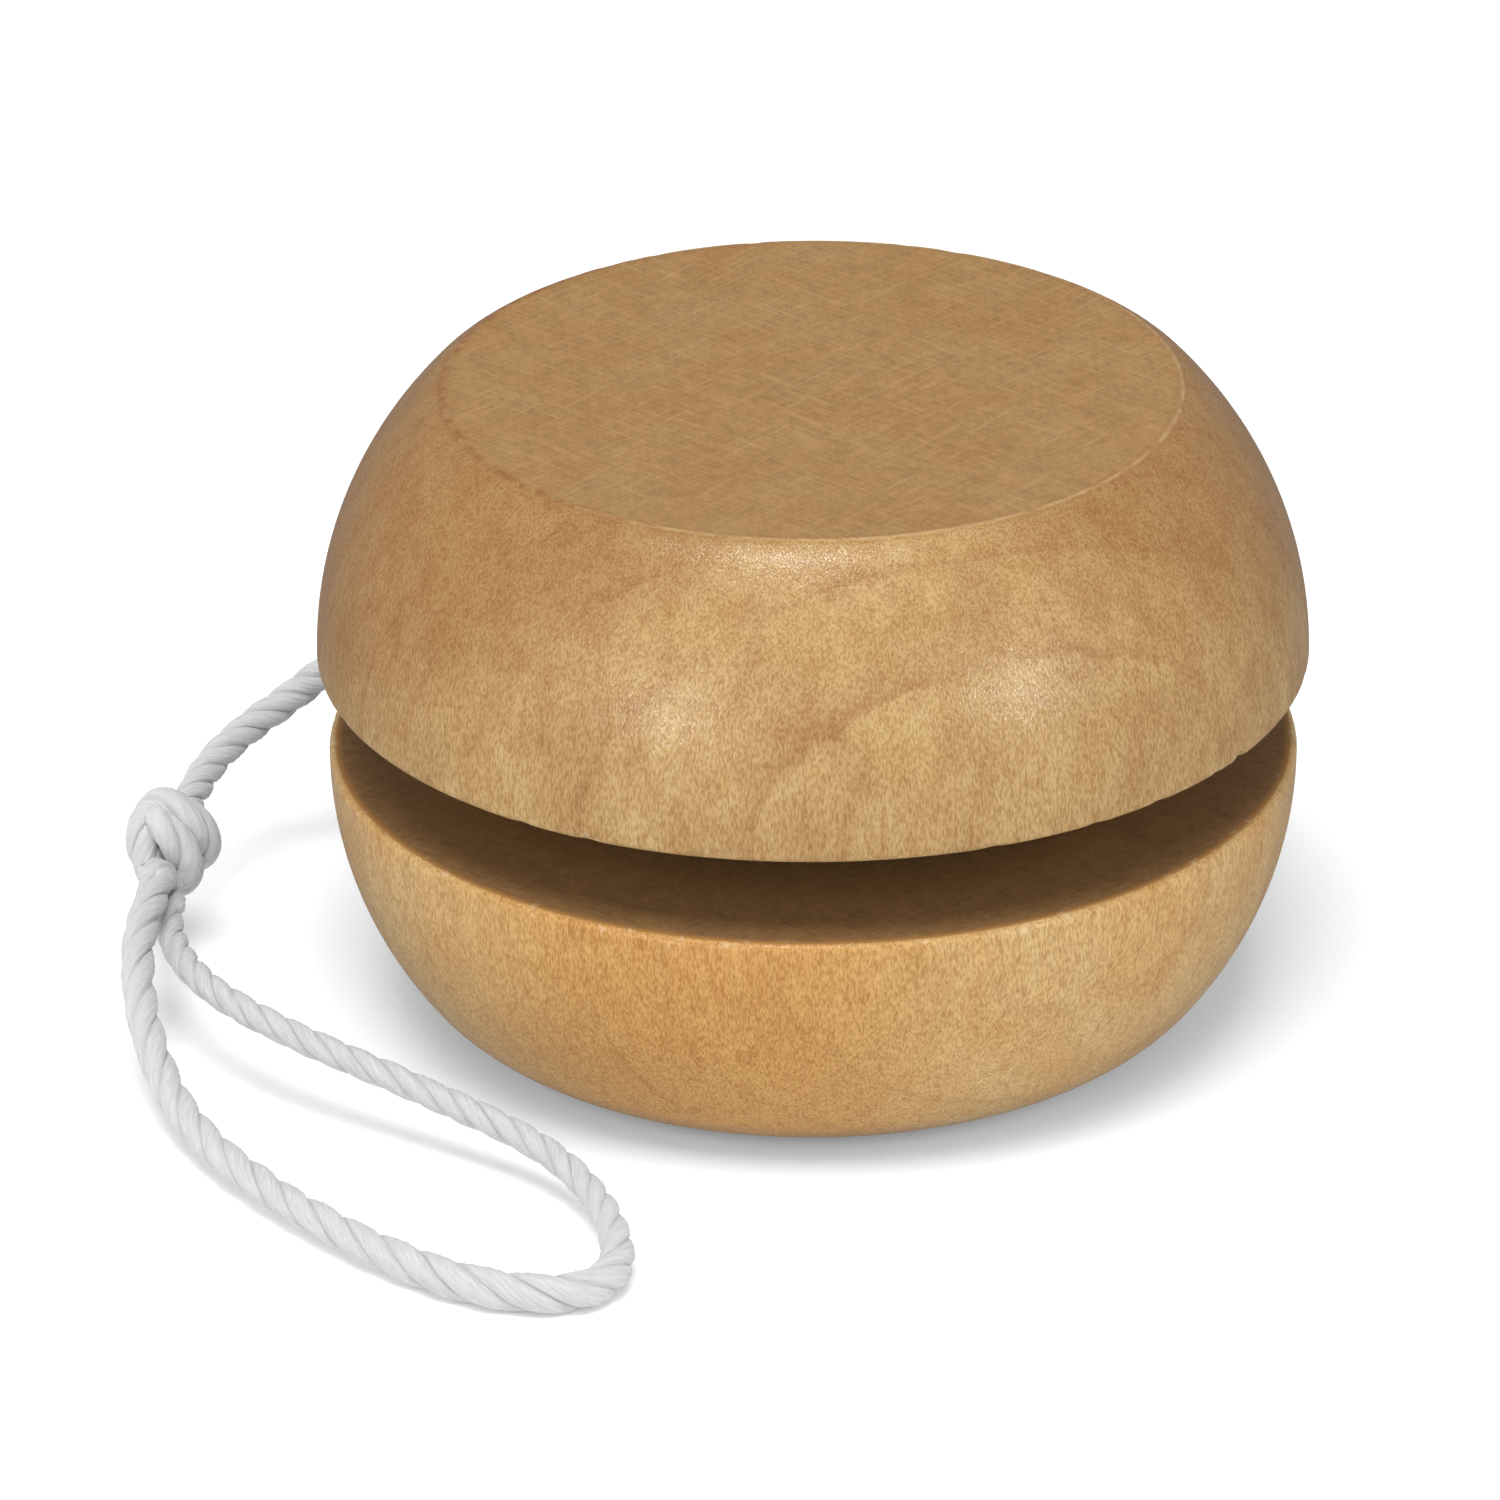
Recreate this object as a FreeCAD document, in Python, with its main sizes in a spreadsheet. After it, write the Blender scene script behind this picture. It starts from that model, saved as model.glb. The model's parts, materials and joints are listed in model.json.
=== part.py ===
"""A turned wooden yo-yo: two domed halves glued on a dowel axle, with a twisted cord in the gap.

Units are millimetres. The yo-yo rests on one of its flat faces. The origin is the centre of that
face, +Z runs along the axle, and the cord comes out of the gap towards -X and lies in front, at -Y.
The cord is one flexible piece. It is cut into short lengths that meet in ball-and-cup ends, so
that it can bend at each of its stations.
"""

import FreeCAD, Part
import os
import Sketcher
from FreeCAD import Placement, Rotation, Vector

# ---------------------------------------------------------------- driving dimensions

DIMENSIONS = [
    ("upper_diameter", 55.0, "widest diameter of the upper half"),
    ("lower_diameter", 53.8, "widest diameter of the lower half, which is turned a little smaller"),
    ("half_thickness", 15.9, "thickness of one half, flat face to inner face"),
    ("string_gap", 5.2, "distance between the two inner faces"),
    ("upper_flat_radius", 20.4, "radius of the upper half's flat outer face"),
    ("lower_flat_radius", 16.7, "radius of the lower half's flat outer face"),
    ("upper_shoulder_radius", 4.5, "radius of the upper half's curve next to its flat face"),
    ("lower_shoulder_radius", 7.9, "radius of the lower half's curve next to its flat face"),
    ("upper_belly_radius", 21.2, "radius of the upper half's curve on to its widest circle"),
    ("lower_belly_radius", 20.2, "radius of the lower half's curve on to its widest circle"),
    ("rim_round", 0.4, "rounding between the widest circle and the inner face"),
    ("axle_diameter", 8.0, "dowel diameter"),
    ("axle_depth", 10.0, "how far the dowel goes into each half"),
    ("glue_pocket", 0.6, "space beyond each end of the dowel"),
    ("axle_chamfer", 0.5, "chamfer on each end of the dowel"),
    ("cord_diameter", 2.1, "outside diameter of the twisted cord"),
    ("socket_clearance", 0.17, "space between a ball end and its cup; lets a joint bend 60 degrees"),
    ("axle_clearance", 0.05, "radial running clearance of the cord's eyelet on the dowel"),
    ("coil_diameter", 25.6, "outside diameter of the wound cord"),
    ("coil_height", 4.6, "width of the wound cord in the gap"),
    ("coil_round", 0.8, "rounding on the edges of the wound cord"),
    ("knot_width", 5.0, "knot, along X"),
    ("knot_length", 6.4, "knot, along Y"),
    ("knot_height", 5.6, "knot, along Z"),
]

# Where the cord's centre line passes, from the winding to the knot. It bends at tail_2 to tail_6.
TAIL_STATIONS = [
    (2.5, 13.7, 18.5),
    (-9.0, 15.9, 18.5),
    (-19.8, 17.9, 17.8),
    (-24.8, 18.6, 14.0),
    (-29.1, 18.5, 10.2),
    (-33.6, 15.1, 7.8),
    (-35.5, 10.4, 6.6),
    (-36.1, 6.2, 6.5),
]

# The finger loop, from the knot round to the knot again. It bends at loop_1 to loop_12.
LOOP_STATIONS = [
    (-36.1, 6.2, 6.5),
    (-36.9, -0.9, 6.7),
    (-37.9, -8.3, 5.6),
    (-35.3, -19.1, 1.7),
    (-27.2, -30.9, 1.4),
    (-18.0, -38.8, 1.2),
    (-11.5, -38.8, 1.1),
    (-10.1, -33.8, 1.3),
    (-13.2, -25.5, 2.4),
    (-21.3, -19.9, 3.8),
    (-29.6, -14.6, 4.9),
    (-34.7, -8.2, 5.1),
    (-36.4, 0.1, 4.5),
    (-36.1, 6.2, 6.5),
]

FIRST_TAIL_BEND = 2

# Where the section sketch starts. Its tangencies and sizes settle the true places.
BELLY_SWEEP_GUESS = 43
BULGE_GUESS = Vector(0.2, -0.2, 0)

X_AXIS = Vector(1, 0, 0)
Z_AXIS = Vector(0, 0, 1)

doc = FreeCAD.newDocument("yo_yo")
nodes = []


# ---------------------------------------------------------------- the two sheets


def make_dimension_sheet():
    sheet = doc.addObject("Spreadsheet::Sheet", "dims")
    for row, (alias, value, meaning) in enumerate(DIMENSIONS, start=1):
        sheet.set(f"A{row}", alias)
        sheet.set(f"B{row}", str(value))
        sheet.set(f"C{row}", meaning)
        sheet.setAlias(f"B{row}", alias)
    return sheet


def make_station_sheet():
    sheet = doc.addObject("Spreadsheet::Sheet", "stations")
    row = 1
    for run, stations in (("tail", TAIL_STATIONS), ("loop", LOOP_STATIONS)):
        for number, station in enumerate(stations):
            sheet.set(f"A{row}", f"{run}_{number}")
            for column, axis, value in zip("BCD", "xyz", station):
                sheet.set(f"{column}{row}", str(value))
                sheet.setAlias(f"{column}{row}", f"{run}_{number}_{axis}")
            row += 1
    return sheet


def station(run, number):
    """A station of the cord's centre line, read from its sheet."""
    return Vector(*(float(stations.get(f"{run}_{number}_{axis}")) for axis in "xyz"))


# ---------------------------------------------------------------- helpers


def keep(feature, label):
    """Names a finished sub-part after its node."""
    feature.Label = label
    nodes.append(feature)
    return feature


def new_body(label):
    return keep(doc.addObject("PartDesign::Body", label + "_body"), label)


def origin_plane(body, role):
    return next(item for item in body.Origin.OriginFeatures if item.Role == role)


def new_sketch(body, name, role):
    sketch = body.newObject("Sketcher::SketchObject", name)
    sketch.AttachmentSupport = [(origin_plane(body, role), "")]
    sketch.MapMode = "FlatFace"
    return sketch


def constrain(sketch, kind, *places):
    return sketch.addConstraint(Sketcher.Constraint(kind, *places))


def drive(sketch, name, expression, kind, *places):
    """Adds a sized constraint and binds it to the dimension sheet."""
    index = constrain(sketch, kind, *places)
    sketch.renameConstraint(index, name)
    sketch.setExpression("Constraints." + name, expression)


def bind(feature, **expressions):
    for name, expression in expressions.items():
        feature.setExpression(name, expression)


# ---------------------------------------------------------------- the wooden halves


def half_outline(sketch, side):
    """Half of one turned section, in X (radius) and Y (height above the flat face)."""
    radius = getattr(dims, side + "_diameter") / 2
    flat_radius = getattr(dims, side + "_flat_radius")
    shoulder_radius = getattr(dims, side + "_shoulder_radius")
    belly_radius = getattr(dims, side + "_belly_radius")
    top = dims.half_thickness
    bore = dims.axle_diameter / 2
    bore_end = top - dims.axle_depth - dims.glue_pocket
    widest = Vector(radius, top - dims.rim_round, 0)
    belly_arm = Vector(belly_radius, 0, 0)
    belly_centre = widest - belly_arm
    turn = belly_centre + Rotation(Z_AXIS, -BELLY_SWEEP_GUESS) * belly_arm
    belly_middle = belly_centre + Rotation(Z_AXIS, -BELLY_SWEEP_GUESS / 2) * belly_arm
    corner = Vector(flat_radius, 0, 0)
    shoulder_middle = (corner + turn) * 0.5 + BULGE_GUESS
    rim_end = Vector(radius - dims.rim_round, top, 0)
    rim_middle = (widest + rim_end) * 0.5 + dims.rim_round * Vector(BULGE_GUESS.x, -BULGE_GUESS.y, 0)
    inner_mouth = Vector(bore, top, 0)
    inner_floor = Vector(bore, bore_end, 0)
    axis_end = Vector(0, bore_end, 0)

    flat, shoulder, belly, rim, face, wall, floor, axis = sketch.addGeometry(
        [
            Part.LineSegment(Vector(0, 0, 0), corner),
            Part.Arc(corner, shoulder_middle, turn),
            Part.Arc(turn, belly_middle, widest),
            Part.Arc(widest, rim_middle, rim_end),
            Part.LineSegment(rim_end, inner_mouth),
            Part.LineSegment(inner_mouth, inner_floor),
            Part.LineSegment(inner_floor, axis_end),
            Part.LineSegment(axis_end, Vector(0, 0, 0)),
        ]
    )
    start, end, centre = 1, 2, 3
    origin = (-1, 1)
    constrain(sketch, "Coincident", flat, start, *origin)
    constrain(sketch, "Coincident", flat, end, shoulder, start)
    constrain(sketch, "Tangent", shoulder, end, belly, start)
    constrain(sketch, "Tangent", belly, end, rim, start)
    constrain(sketch, "Tangent", rim, end, face, start)
    for first, second in ((face, wall), (wall, floor), (floor, axis)):
        constrain(sketch, "Coincident", first, end, second, start)
    constrain(sketch, "Coincident", axis, end, *origin)
    for line in (flat, face, floor):
        constrain(sketch, "Horizontal", line)
    for line in (wall, axis):
        constrain(sketch, "Vertical", line)
    constrain(sketch, "Horizontal", belly, centre, belly, end)
    drive(sketch, "flat", f"dims.{side}_flat_radius", "DistanceX", *origin, flat, end, flat_radius)
    drive(sketch, "widest", f"dims.{side}_diameter / 2", "DistanceX", *origin, belly, end, radius)
    drive(sketch, "thickness", "dims.half_thickness", "DistanceY", *origin, face, start, top)
    drive(sketch, "shoulder", f"dims.{side}_shoulder_radius", "Radius", shoulder, shoulder_radius)
    drive(sketch, "belly", f"dims.{side}_belly_radius", "Radius", belly, belly_radius)
    drive(sketch, "rim", "dims.rim_round", "Radius", rim, dims.rim_round)
    drive(sketch, "bore", "dims.axle_diameter / 2", "DistanceX", *origin, wall, start, bore)
    drive(
        sketch,
        "bore_floor",
        "dims.half_thickness - dims.axle_depth - dims.glue_pocket",
        "DistanceY",
        *origin,
        axis,
        start,
        bore_end,
    )


def make_half(side):
    """One turned half, standing on its flat face, with the blind bore for the dowel open at the top."""
    body = new_body(side + "_half")
    sketch = new_sketch(body, side + "_outline", "XZ_Plane")
    half_outline(sketch, side)
    turned = body.newObject("PartDesign::Revolution", side + "_turned")
    turned.Profile = sketch
    turned.ReferenceAxis = (sketch, ["V_Axis"])
    turned.Angle = 360
    return body


def make_axle():
    """The dowel that joins the halves. It is shorter than the two bores by the glue pockets."""
    body = new_body("axle")
    sketch = new_sketch(body, "axle_section", "XY_Plane")
    circle = sketch.addGeometry(Part.Circle(Vector(0, 0, 0), Z_AXIS, dims.axle_diameter / 2))
    constrain(sketch, "Coincident", circle, 3, -1, 1)
    drive(sketch, "across", "dims.axle_diameter", "Diameter", circle, dims.axle_diameter)
    pad = body.newObject("PartDesign::Pad", "axle_pad")
    pad.Profile = sketch
    bind(pad, Length="dims.string_gap + 2 * dims.axle_depth")
    doc.recompute()
    ends = [
        f"Edge{index}"
        for index, edge in enumerate(pad.Shape.Edges, start=1)
        if isinstance(edge.Curve, Part.Circle)
    ]
    chamfer = body.newObject("PartDesign::Chamfer", "axle_ends")
    chamfer.Base = (pad, ends)
    bind(chamfer, Size="dims.axle_chamfer")
    body.setExpression(".Placement.Base.z", "dims.half_thickness - dims.axle_depth")
    return body


# ---------------------------------------------------------------- the wound cord


def make_axle_loop():
    """The eyelet at the cord's inner end, a ring that turns freely on the dowel."""
    ring = keep(doc.addObject("Part::Torus", "axle_loop_ring"), "axle_loop")
    bind(
        ring,
        Radius1="dims.axle_diameter / 2 + dims.axle_clearance + dims.cord_diameter / 2",
        Radius2="dims.cord_diameter / 2",
    )
    ring.setExpression(".Placement.Base.z", "dims.half_thickness + dims.string_gap / 2")


def make_string_coil():
    """The turns wound round the eyelet, as one plain ring that fills the middle of the gap."""
    body = new_body("string_coil")
    sketch = new_sketch(body, "string_coil_section", "XY_Plane")
    outer = sketch.addGeometry(Part.Circle(Vector(0, 0, 0), Z_AXIS, dims.coil_diameter / 2))
    bore = dims.axle_diameter + 2 * dims.cord_diameter + 4 * dims.axle_clearance
    inner = sketch.addGeometry(Part.Circle(Vector(0, 0, 0), Z_AXIS, bore / 2))
    for circle in (outer, inner):
        constrain(sketch, "Coincident", circle, 3, -1, 1)
    drive(sketch, "outside", "dims.coil_diameter", "Diameter", outer, dims.coil_diameter)
    drive(
        sketch,
        "inside",
        "dims.axle_diameter + 2 * dims.cord_diameter + 4 * dims.axle_clearance",
        "Diameter",
        inner,
        bore,
    )
    pad = body.newObject("PartDesign::Pad", "string_coil_pad")
    pad.Profile = sketch
    bind(pad, Length="dims.coil_height")
    doc.recompute()
    rims = [
        f"Edge{index}"
        for index, edge in enumerate(pad.Shape.Edges, start=1)
        if isinstance(edge.Curve, Part.Circle) and edge.Curve.Radius > bore
    ]
    rounded = body.newObject("PartDesign::Fillet", "string_coil_rims")
    rounded.Base = (pad, rims)
    bind(rounded, Radius="dims.coil_round")
    body.setExpression(
        ".Placement.Base.z", "dims.half_thickness + (dims.string_gap - dims.coil_height) / 2"
    )


# ---------------------------------------------------------------- the free cord


class CentreLine:
    """A smooth curve through a run of stations, measured along the straight lines between them."""

    def __init__(self, run, count):
        self.points = [station(run, number) for number in range(count)]
        self.reach = [0.0]
        for here, there in zip(self.points, self.points[1:]):
            self.reach.append(self.reach[-1] + here.distanceToPoint(there))
        self.curve = Part.BSplineCurve()
        self.curve.interpolate(Points=self.points, Parameters=self.reach)

    def between(self, first, last):
        return self.curve.toShape(self.reach[first], self.reach[last])

    def pose(self, number, reverse=False):
        """A placement at a station whose Z axis follows the cord."""
        tangent = self.curve.tangent(self.reach[number])[0]
        if reverse:
            tangent = tangent * -1
        return Placement(self.points[number], Rotation(Z_AXIS, tangent))


def tube(name, line, first, last):
    """The plain round cord between two stations."""
    path = doc.addObject("Part::Feature", name + "_path")
    path.Shape = line.between(first, last)
    section = doc.addObject("Part::Circle", name + "_section")
    bind(section, Radius="dims.cord_diameter / 2")
    section.Placement = line.pose(first)
    sweep = doc.addObject("Part::Sweep", name + "_tube")
    sweep.Sections = [section]
    sweep.Spine = (path, ["Edge1"])
    sweep.Solid = True
    sweep.Frenet = False
    return sweep


def ball_end(name, line, number, reverse=False):
    """Half a ball on the end of a cord length, centred on the station."""
    ball = doc.addObject("Part::Sphere", name)
    bind(ball, Radius="dims.cord_diameter / 2")
    ball.Angle1 = 0
    ball.Placement = line.pose(number, reverse)
    return ball


def cup(name, line, number):
    """The hollow that the neighbour's ball end turns in."""
    hollow = doc.addObject("Part::Sphere", name)
    bind(hollow, Radius="dims.cord_diameter / 2 + dims.socket_clearance")
    hollow.Placement = line.pose(number)
    return hollow


def joined(name, shapes):
    fused = doc.addObject("Part::MultiFuse", name)
    fused.Shapes = shapes
    return fused


def without(name, solid, hollow):
    cut = doc.addObject("Part::Cut", name)
    cut.Base = solid
    cut.Tool = hollow
    return cut


def make_cord_length(label, line, first, last):
    """One length of cord, with a cup at its first station and a ball at its last."""
    parts = [tube(label, line, first, last), ball_end(label + "_ball", line, last)]
    solid = joined(label + "_solid", parts)
    keep(without(label + "_cut", solid, cup(label + "_cup", line, first)), label)


def make_tail_root(line):
    """The first stretch, which leaves the winding and runs to the mouth of the gap."""
    parts = [
        tube("tail_root", line, 0, FIRST_TAIL_BEND),
        ball_end("tail_root_start", line, 0, reverse=True),
        ball_end("tail_root_ball", line, FIRST_TAIL_BEND),
    ]
    keep(joined("tail_root_solid", parts), "tail_root")


def make_knot(tail, loop):
    """The knot, with a short stub for each of the three cords that leave it."""
    last_tail = len(TAIL_STATIONS) - 1
    last_loop = len(LOOP_STATIONS) - 1
    middle = doc.addObject("Part::Ellipsoid", "knot_middle")
    bind(
        middle,
        Radius1="dims.knot_height / 2",
        Radius2="dims.knot_width / 2",
        Radius3="dims.knot_length / 2",
    )
    middle.Placement = Placement(tail.points[last_tail], Rotation())
    parts = [
        middle,
        tube("knot_tail_stub", tail, last_tail - 1, last_tail),
        tube("knot_outer_stub", loop, 0, 1),
        ball_end("knot_outer_ball", loop, 1),
        tube("knot_inner_stub", loop, last_loop - 1, last_loop),
    ]
    solid = joined("knot_solid", parts)
    for end, line, number in (("tail", tail, last_tail - 1), ("inner", loop, last_loop - 1)):
        solid = without(f"knot_{end}_cut", solid, cup(f"knot_{end}_cup", line, number))
    keep(solid, "knot")


# ---------------------------------------------------------------- build, check and write


def check_and_write():
    for item in doc.Objects:
        if {"Invalid", "Error"} & set(item.State):
            raise RuntimeError(f"{item.Label} failed: {item.State}")
    os.makedirs("parts", exist_ok=True)
    for node in nodes:
        shape = node.Shape
        if shape.isNull() or not shape.isValid() or len(shape.Solids) != 1:
            raise RuntimeError(f"{node.Label} is not one valid solid")
        shape.exportStep(f"parts/{node.Label}.step")
        print(f"{node.Label}: {shape.Volume:.1f} mm3")


dims = make_dimension_sheet()
stations = make_station_sheet()
doc.recompute()

make_half("lower")
upper = make_half("upper")
upper.Placement.Rotation = Rotation(X_AXIS, 180)
upper.setExpression(".Placement.Base.z", "2 * dims.half_thickness + dims.string_gap")
make_axle()
make_axle_loop()
make_string_coil()

tail_line = CentreLine("tail", len(TAIL_STATIONS))
loop_line = CentreLine("loop", len(LOOP_STATIONS))
make_tail_root(tail_line)
for number in range(FIRST_TAIL_BEND, len(TAIL_STATIONS) - 2):
    make_cord_length(f"tail_{number - FIRST_TAIL_BEND + 1}", tail_line, number, number + 1)
make_knot(tail_line, loop_line)
for number in range(1, len(LOOP_STATIONS) - 2):
    make_cord_length(f"loop_{number}", loop_line, number, number + 1)

doc.recompute()
check_and_write()
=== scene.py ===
"""Looks for a turned wooden yo-yo with a twisted white cord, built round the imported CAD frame.

Lengths are in metres, in the frame's own axes. Sizes and places come from the frame's boxes and
joints. The few sizes that the frame does not hold are named below, in millimetres times MM.
"""

import json
import math
from collections import namedtuple

import bpy
import numpy as np
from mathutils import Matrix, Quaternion, Vector

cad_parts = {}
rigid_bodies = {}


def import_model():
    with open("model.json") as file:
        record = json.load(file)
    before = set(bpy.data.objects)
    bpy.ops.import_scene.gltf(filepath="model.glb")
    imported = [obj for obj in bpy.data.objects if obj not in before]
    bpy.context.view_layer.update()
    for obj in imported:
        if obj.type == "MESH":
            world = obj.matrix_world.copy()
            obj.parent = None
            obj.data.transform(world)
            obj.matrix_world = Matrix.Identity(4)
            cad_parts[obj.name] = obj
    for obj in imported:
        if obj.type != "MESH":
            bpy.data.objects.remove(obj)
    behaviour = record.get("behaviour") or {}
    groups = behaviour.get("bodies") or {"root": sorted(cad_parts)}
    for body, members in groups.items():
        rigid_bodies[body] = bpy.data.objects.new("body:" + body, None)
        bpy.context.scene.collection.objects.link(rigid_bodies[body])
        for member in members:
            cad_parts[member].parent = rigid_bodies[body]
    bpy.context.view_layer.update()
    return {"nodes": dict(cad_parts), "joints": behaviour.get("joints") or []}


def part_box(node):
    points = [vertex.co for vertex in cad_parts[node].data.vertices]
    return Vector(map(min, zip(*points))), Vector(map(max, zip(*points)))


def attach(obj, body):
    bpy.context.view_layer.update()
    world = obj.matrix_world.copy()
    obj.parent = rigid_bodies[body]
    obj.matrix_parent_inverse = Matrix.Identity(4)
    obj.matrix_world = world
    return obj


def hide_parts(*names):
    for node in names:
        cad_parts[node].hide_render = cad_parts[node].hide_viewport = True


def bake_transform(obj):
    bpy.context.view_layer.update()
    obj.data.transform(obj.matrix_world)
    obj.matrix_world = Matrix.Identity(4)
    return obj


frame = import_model()
joint_at = {joint["name"]: np.array(joint["pos_m"]) for joint in frame["joints"]}

MM = 0.001

# ---------------------------------------------------------------- sizes read from the frame

LOWER_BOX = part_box("lower_half")
UPPER_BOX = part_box("upper_half")
COIL_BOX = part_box("string_coil")
AXLE_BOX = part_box("axle")
AXLE_LOOP_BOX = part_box("axle_loop")
LAST_LENGTH_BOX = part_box("loop_11")
HALF_THICKNESS = LOWER_BOX[1].z
GAP_MIDDLE = (LOWER_BOX[1].z + UPPER_BOX[0].z) / 2
AXLE_RADIUS = AXLE_BOX[1].x
BORE_END = AXLE_BOX[0].z
COIL_RADIUS = COIL_BOX[1].x
CORD_RADIUS = (AXLE_LOOP_BOX[1].z - AXLE_LOOP_BOX[0].z) / 2

# ---------------------------------------------------------------- the turned sections

Section = namedtuple("Section", "radius flat_radius shoulder_radius belly_radius flat_height rim_height")
UPPER_SECTION = Section(
    radius=UPPER_BOX[1].x,
    flat_radius=20.4 * MM,
    shoulder_radius=4.5 * MM,
    belly_radius=21.2 * MM,
    flat_height=UPPER_BOX[1].z,
    rim_height=UPPER_BOX[0].z,
)
LOWER_SECTION = Section(
    radius=LOWER_BOX[1].x,
    flat_radius=16.7 * MM,
    shoulder_radius=7.9 * MM,
    belly_radius=20.2 * MM,
    flat_height=0.0,
    rim_height=LOWER_BOX[1].z,
)
RIM_ROUND = 0.4 * MM
TURNED_SEGMENTS = 720
PROFILE_STEP = 0.25 * MM
WORN_WIDTH = 0.35 * MM
RIM_CHIPS = 26
RIM_CHIP_WIDTH = 0.02  # radians
RIM_CHIP_DEPTH = 0.08 * MM
FLAT_CHIPS = 40
FLAT_CHIP_WIDTH = 0.03  # radians
FLAT_CHIP_DEPTH = 0.05 * MM
NICK_ANGLE = math.radians(-32)
NICK_WIDTH = 0.012  # radians
NICK_DEPTH = 0.35 * MM

# ---------------------------------------------------------------- wood

# lengths in a Wood are millimetres: the pith line's place in plan, the distance from it to a ring,
# and the span over which the tone, partly painted shade, turns from pale to warm
Wood = namedtuple(
    "Wood", "pale warm patchiness pith ring_start ring_strength tone_middle tone_rise tone_span seed"
)
UPPER_WOOD = Wood(
    pale=(0.400, 0.262, 0.106),
    warm=(0.275, 0.145, 0.050),
    patchiness=0.60,
    pith=(-11.6, 28.3),
    ring_start=52.7,
    ring_strength=0.55,
    tone_middle=3,
    tone_rise=1.5,
    tone_span=(54, 70),
    seed=3.0,
)
LOWER_WOOD = Wood(
    pale=(0.490, 0.325, 0.135),
    warm=(0.460, 0.235, 0.062),
    patchiness=0.30,
    pith=(-31.0, 44.0),
    ring_start=57.0,
    ring_strength=0.25,
    tone_middle=-6,
    tone_rise=0,
    tone_span=(20, 4),
    seed=11.0,
)
RING_SPACING = 3.3  # mm between growth rings
INNER_EDGE = (0.350, 0.165, 0.048)
PATCH_TINT = (0.760, 0.600, 0.440)
# the late wood's brown, also used for the nicks and for the painted shadow line at the flat's edge
RING_AND_SHADOW_BROWN = (0.240, 0.103, 0.030)
# the flat's browns are darker than the sides': partly the sanded end grain, partly painted shade on the top
FLAT_PALE = (0.300, 0.176, 0.069)
FLAT_WARM = (0.294, 0.157, 0.057)
# painted shade of the gap: the deep brown is lighter than the rim's, to offset the shade deep in the gap
SHADED_INNER_DEEP = (0.300, 0.146, 0.047)
SHADED_INNER_RIM = (0.240, 0.126, 0.049)
BARE_EDGE = (0.460, 0.310, 0.155)
LIFTED_LACQUER = (0.640, 0.520, 0.360)
BOUNCE_GREY = (0.200, 0.200, 0.200)  # what other surfaces receive from the wood, so the table stays white

# ---------------------------------------------------------------- sizes of the cord

STEP = 0.15 * MM
PLIES = 3
PLY_OFFSET = 0.48  # this and the next two are shares of the cord's radius
PLY_HALF_THICKNESS = 0.52
PLY_HALF_WIDTH = 0.65
PLY_WOBBLE = 0.11
PITCH_WOBBLE = 0.16
PITCH_SEED = 5
PLY_SIDES = 36
WOUND_PLY_SIDES = 20
COARSE_THREADS = (0.030, 9, 7 * MM)  # height, number round the ply, and the length of one turn
FINE_THREADS = (0.015, 17, 3.1 * MM)
FREE_FROM = 19 * MM  # from the coil, where the squeezed tail begins to fill out
FREE_WITHIN = 35 * MM
TAIL_PITCH = 5.4 * MM
TAIL_SIZES = (0.78, 0.89)  # of the cord's radius, squeezed in the gap and free outside it
LOOP_SIZES = (0.90, 0.77)  # of the cord's radius, in the outer leg and the inner leg
TIP_SWELLING = 0.14
KNOT_PITCH = 8.0 * MM
OUTER_LEG_PITCH = 8.5 * MM
INNER_LEG_PITCH = 6.6 * MM
PLY_WAVES = (3.7 * MM, 6.1 * MM, 10.3 * MM)

# ---------------------------------------------------------------- view

CAMERA_DISTANCE = 742.8 * MM
CAMERA_ELEVATION = math.radians(25.06)
CAMERA_ROLL = math.radians(-0.31)
CAMERA_LENS = 320.9
CAMERA_SENSOR = 36
CAMERA_AIM = Vector((-3.51, -1.40, -2.93)) * MM  # from the middle of the wooden body
WORLD_LIGHT = 0.40
WORLD_REFLECTION = 0.24


# ================================================================ small helpers


def new_object(name, vertices, faces, material):
    mesh = bpy.data.meshes.new(name)
    mesh.from_pydata([tuple(v) for v in vertices], [], faces)
    mesh.shade_smooth()
    mesh.materials.append(material)
    piece = bpy.data.objects.new(name, mesh)
    bpy.context.scene.collection.objects.link(piece)
    return piece


def lerp(a, b, share):
    return a + (b - a) * share


def smooth(value):
    value = np.clip(value, 0.0, 1.0)
    return value * value * (3 - 2 * value)


def unit(vector):
    return vector / np.linalg.norm(vector)


def ripple(position, seed, lengths):
    """A smooth wandering value of about -1 to 1 along a length, the same on every run."""
    total = 0.0
    for number, wave_length in enumerate(lengths):
        phase = seed * 1.7 + number * 2.3
        total += np.sin(2 * math.pi * position / wave_length + phase)
    return total / len(lengths)


# ================================================================ node helpers


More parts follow.
